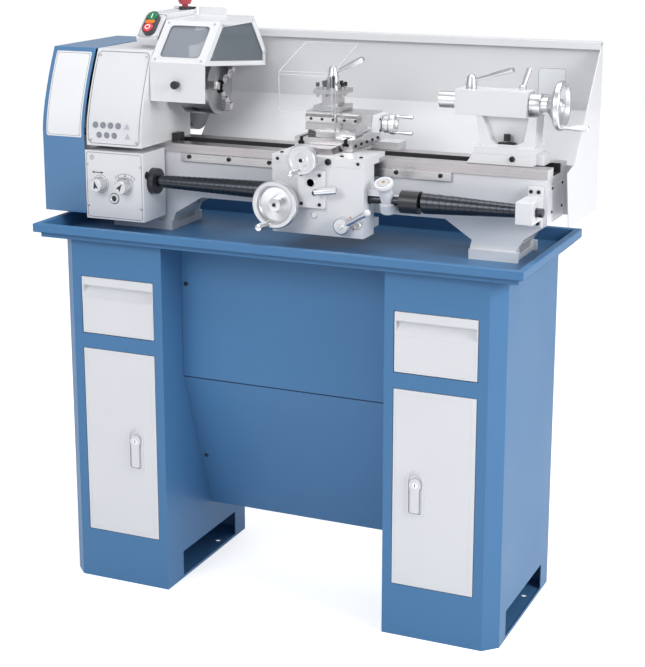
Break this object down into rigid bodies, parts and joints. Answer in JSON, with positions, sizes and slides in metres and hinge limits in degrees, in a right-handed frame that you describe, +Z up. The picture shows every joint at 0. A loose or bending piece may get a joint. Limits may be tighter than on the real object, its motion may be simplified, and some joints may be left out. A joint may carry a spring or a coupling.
{
  "type": "bench lathe on a cabinet stand",
  "caption": "Metal-turning lathe with a headstock, chuck guard, carriage, tailstock and splash guard, standing in a chip tray on a sheet-metal cabinet stand with drawers and doors.",
  "frame": {"origin": "on the floor under the middle of the whole machine's box", "axes": "+X along the bed from the headstock to the tailstock, +Y from the operator's side to the back, +Z up"},
  "size_m": [1.226, 0.4555, 1.339],
  "materials": {
    "blue_paint": "gloss powder coat",
    "white_paint": "gloss paint",
    "light_grey_paint": "gloss powder coat",
    "ground_steel": "ground",
    "polished_steel": "polished",
    "dark_steel": "blackened steel",
    "black_plastic": "satin",
    "green_plastic": "gloss",
    "red_plastic": "gloss",
    "belt_rubber": "matt",
    "clear_sheet": "clear"
  },
  "bodies": {
    "root": {"left_cabinet": "blue_paint", "right_cabinet": "blue_paint", "chip_tray": "blue_paint", "upper_rear_panel": "blue_paint", "lower_rear_panel": "blue_paint", "bed": "white_paint", "rack": "ground_steel", "headstock": "white_paint", "feed_gearbox": "white_paint", "control_box": "white_paint", "button_station": "black_plastic", "motor": "dark_steel", "drive_belt": "belt_rubber", "splash_guard": "white_paint", "leadscrew_bracket": "white_paint", "left_screw_cover": "dark_steel", "right_screw_cover": "dark_steel"},
    "left_drawer_body": {"left_drawer": "light_grey_paint"},
    "right_drawer_body": {"right_drawer": "light_grey_paint"},
    "left_door_body": {"left_door": "light_grey_paint"},
    "right_door_body": {"right_door": "light_grey_paint"},
    "left_latch_body": {"left_door_latch": "light_grey_paint"},
    "right_latch_body": {"right_door_latch": "light_grey_paint"},
    "gear_cover_body": {"gear_cover": "blue_paint"},
    "spindle_body": {"spindle": "polished_steel", "chuck_body": "ground_steel"},
    "jaw_1_body": {"chuck_jaw_1": "ground_steel"},
    "jaw_2_body": {"chuck_jaw_2": "ground_steel"},
    "jaw_3_body": {"chuck_jaw_3": "ground_steel"},
    "motor_pulley_body": {"motor_pulley": "dark_steel"},
    "idler_body": {"idler_gear": "ground_steel"},
    "leadscrew_body": {"leadscrew": "dark_steel"},
    "chuck_guard_body": {"chuck_guard": "white_paint", "guard_front_window": "clear_sheet", "guard_side_window": "clear_sheet"},
    "start_button_body": {"start_button": "green_plastic"},
    "stop_button_body": {"stop_button": "red_plastic"},
    "emergency_stop_body": {"emergency_stop": "red_plastic"},
    "feed_direction_knob_body": {"feed_direction_knob": "polished_steel"},
    "feed_range_knob_body": {"feed_range_knob": "polished_steel"},
    "carriage": {"saddle": "white_paint", "apron": "white_paint"},
    "carriage_handwheel_body": {"carriage_handwheel": "polished_steel"},
    "half_nut_lever_body": {"half_nut_lever": "polished_steel"},
    "feed_lever_body": {"feed_lever": "polished_steel"},
    "thread_dial_body": {"thread_dial": "polished_steel"},
    "cross_slide_body": {"cross_slide": "ground_steel"},
    "cross_slide_handwheel_body": {"cross_slide_handwheel": "polished_steel"},
    "compound_body": {"compound_base": "ground_steel"},
    "top_slide_body": {"top_slide": "ground_steel"},
    "top_slide_handwheel_body": {"top_slide_handwheel": "polished_steel"},
    "toolpost_body": {"toolpost": "ground_steel"},
    "toolpost_lever_body": {"toolpost_lever": "polished_steel"},
    "tool_shield_body": {"tool_shield": "clear_sheet"},
    "tailstock": {"tailstock_base": "white_paint", "tailstock_body": "white_paint"},
    "quill_body": {"quill": "polished_steel"},
    "tailstock_handwheel_body": {"tailstock_handwheel": "polished_steel"},
    "quill_lock_lever_body": {"quill_lock_lever": "polished_steel"},
    "tailstock_lock_lever_body": {"tailstock_lock_lever": "polished_steel"}
  },
  "joints": [
    {"name": "left_drawer_slide", "type": "slide", "parent": "root", "child": "left_drawer_body", "axis": [0, -1, 0], "range_m": [0, 0.22]},
    {"name": "left_door_hinge", "type": "hinge", "parent": "root", "child": "left_door_body", "pos_m": [-0.489, -0.1895, 0.34], "axis": [0, 0, -1], "range_deg": [0, 96]},
    {"name": "left_latch_pivot", "type": "hinge", "parent": "left_door_body", "child": "left_latch_body", "pos_m": [-0.359, -0.1945, 0.367], "axis": [-1, 0, 0], "range_deg": [0, 60]},
    {"name": "right_drawer_slide", "type": "slide", "parent": "root", "child": "right_drawer_body", "axis": [0, -1, 0], "range_m": [0, 0.22]},
    {"name": "right_door_hinge", "type": "hinge", "parent": "root", "child": "right_door_body", "pos_m": [0.451, -0.1895, 0.34], "axis": [0, 0, 1], "range_deg": [0, 96]},
    {"name": "right_latch_pivot", "type": "hinge", "parent": "right_door_body", "child": "right_latch_body", "pos_m": [0.321, -0.1945, 0.367], "axis": [-1, 0, 0], "range_deg": [0, 60]},
    {"name": "gear_cover_hinge", "type": "hinge", "parent": "root", "child": "gear_cover_body", "pos_m": [-0.503, 0.201, 1], "axis": [0, 0, -1], "range_deg": [0, 100]},
    {"name": "spindle_turn", "type": "hinge", "parent": "root", "child": "spindle_body", "pos_m": [-0.419, 0.0304, 1.144], "axis": [1, 0, 0], "continuous": true},
    {"name": "jaw_1_slide", "type": "slide", "parent": "spindle_body", "child": "jaw_1_body", "axis": [0, -0.9848, 0.1736], "range_m": [-0.005, 0.01]},
    {"name": "jaw_2_slide", "type": "slide", "parent": "spindle_body", "child": "jaw_2_body", "axis": [0, 0.342, -0.9397], "range_m": [-0.005, 0.01]},
    {"name": "jaw_3_slide", "type": "slide", "parent": "spindle_body", "child": "jaw_3_body", "axis": [0, 0.6428, 0.766], "range_m": [-0.005, 0.01]},
    {"name": "motor_turn", "type": "hinge", "parent": "root", "child": "motor_pulley_body", "pos_m": [-0.542, 0.156, 1.08], "axis": [1, 0, 0], "continuous": true},
    {"name": "idler_turn", "type": "hinge", "parent": "root", "child": "idler_body", "pos_m": [-0.57, -0.038, 1.0324], "axis": [1, 0, 0], "continuous": true},
    {"name": "leadscrew_turn", "type": "hinge", "parent": "root", "child": "leadscrew_body", "pos_m": [-0.019, -0.094, 0.941], "axis": [1, 0, 0], "continuous": true},
    {"name": "chuck_guard_hinge", "type": "hinge", "parent": "root", "child": "chuck_guard_body", "pos_m": [-0.3555, 0.181, 1.245], "axis": [-1, 0, 0], "range_deg": [0, 75]},
    {"name": "start_button_push", "type": "slide", "parent": "root", "child": "start_button_body", "axis": [0, 0.7141, -0.7001], "range_m": [0, 0.0026], "stiffness_N_per_m": 300},
    {"name": "stop_button_push", "type": "slide", "parent": "root", "child": "stop_button_body", "axis": [0, 0.7141, -0.7001], "range_m": [0, 0.0026], "stiffness_N_per_m": 300},
    {"name": "emergency_stop_push", "type": "slide", "parent": "root", "child": "emergency_stop_body", "axis": [0, 0, -1], "range_m": [0, 0.004], "stiffness_N_per_m": 900, "springref_m": -0.0006},
    {"name": "feed_direction_turn", "type": "hinge", "parent": "root", "child": "feed_direction_knob_body", "pos_m": [-0.4635, -0.137, 0.933], "axis": [0, 1, 0], "range_deg": [-45, 45]},
    {"name": "feed_range_turn", "type": "hinge", "parent": "root", "child": "feed_range_knob_body", "pos_m": [-0.4005, -0.137, 0.933], "axis": [0, 1, 0], "range_deg": [-60, 60]},
    {"name": "carriage_slide", "type": "slide", "parent": "root", "child": "carriage", "axis": [1, 0, 0], "range_m": [-0.15, 0.12], "deforming": ["left_screw_cover", "right_screw_cover"]},
    {"name": "carriage_wheel_turn", "type": "hinge", "parent": "carriage", "child": "carriage_handwheel_body", "pos_m": [-0.015, -0.1285, 0.927], "axis": [0, 1, 0], "range_deg": [-905, 725]},
    {"name": "half_nut_turn", "type": "hinge", "parent": "carriage", "child": "half_nut_lever_body", "pos_m": [0.128, -0.1285, 0.887], "axis": [0, 1, 0], "range_deg": [0, 35]},
    {"name": "feed_lever_turn", "type": "hinge", "parent": "carriage", "child": "feed_lever_body", "pos_m": [0.103, -0.1285, 0.962], "axis": [0, 1, 0], "range_deg": [-25, 25]},
    {"name": "thread_dial_turn", "type": "hinge", "parent": "carriage", "child": "thread_dial_body", "pos_m": [0.21215, -0.11632, 0.98094], "axis": [-0.0268, -0.4683, 0.8831], "continuous": true},
    {"name": "cross_slide_feed", "type": "slide", "parent": "carriage", "child": "cross_slide_body", "axis": [0, 1, 0], "range_m": [-0.035, 0.035]},
    {"name": "cross_wheel_turn", "type": "hinge", "parent": "carriage", "child": "cross_slide_handwheel_body", "pos_m": [0.047, -0.1285, 1.0265], "axis": [0, 1, 0], "range_deg": [-3152, 3152]},
    {"name": "compound_swivel", "type": "hinge", "parent": "cross_slide_body", "child": "compound_body", "pos_m": [0.051, 0.004, 1.057], "axis": [0, 0, 1], "range_deg": [-45, 45]},
    {"name": "top_slide_feed", "type": "slide", "parent": "compound_body", "child": "top_slide_body", "axis": [1, 0, 0], "range_m": [-0.014, 0.02]},
    {"name": "top_wheel_turn", "type": "hinge", "parent": "top_slide_body", "child": "top_slide_handwheel_body", "pos_m": [0.1955, 0.004, 1.0875], "axis": [-1, 0, 0], "range_deg": [-1262, 1802]},
    {"name": "toolpost_turn", "type": "hinge", "parent": "top_slide_body", "child": "toolpost_body", "pos_m": [0.045, 0.004, 1.111], "axis": [0, 0, 1], "range_deg": [0, 90]},
    {"name": "toolpost_lever_turn", "type": "hinge", "parent": "toolpost_body", "child": "toolpost_lever_body", "pos_m": [0.045, 0.004, 1.158], "axis": [0, 0, 1], "range_deg": [0, 60]},
    {"name": "tool_shield_swing", "type": "hinge", "parent": "compound_body", "child": "tool_shield_body", "pos_m": [0.071, -0.047, 1.1], "axis": [0, 0, 1], "range_deg": [0, 90]},
    {"name": "tailstock_slide", "type": "slide", "parent": "root", "child": "tailstock", "axis": [1, 0, 0], "range_m": [-0.1, 0.03]},
    {"name": "tailstock_wheel_turn", "type": "hinge", "parent": "tailstock", "child": "tailstock_handwheel_body", "pos_m": [0.554, 0.0304, 1.144], "axis": [-1, 0, 0], "range_deg": [-1800, 4050]},
    {"name": "quill_feed", "type": "slide", "parent": "tailstock", "child": "quill_body", "axis": [-1, 0, 0], "range_m": [-0.02, 0.045]},
    {"name": "quill_lock_turn", "type": "hinge", "parent": "tailstock", "child": "quill_lock_lever_body", "pos_m": [0.3516, 0.0304, 1.17], "axis": [0, 0, 1], "range_deg": [-90, 15]},
    {"name": "tailstock_lock_turn", "type": "hinge", "parent": "tailstock", "child": "tailstock_lock_lever_body", "pos_m": [0.455, 0.06, 1.17], "axis": [0, 0, 1], "range_deg": [-40, 40]}
  ],
  "couplings": [
    {"joint": "motor_turn", "follows": "spindle_turn", "ratio": 2.1667},
    {"joint": "idler_turn", "follows": "spindle_turn", "ratio": -0.61728},
    {"joint": "leadscrew_turn", "follows": "spindle_turn", "ratio": 1.9231},
    {"joint": "thread_dial_turn", "follows": "spindle_turn", "ratio": 0.12019},
    {"joint": "jaw_2_slide", "follows": "jaw_1_slide", "ratio": 1},
    {"joint": "jaw_3_slide", "follows": "jaw_1_slide", "ratio": 1},
    {"joint": "carriage_wheel_turn", "follows": "carriage_slide", "rad_per_m": 104.72},
    {"joint": "cross_wheel_turn", "follows": "cross_slide_feed", "rad_per_m": 1570.8},
    {"joint": "top_wheel_turn", "follows": "top_slide_feed", "rad_per_m": 1570.8},
    {"joint": "quill_feed", "follows": "tailstock_wheel_turn", "m_per_rad": 0.00063662}
  ]
}
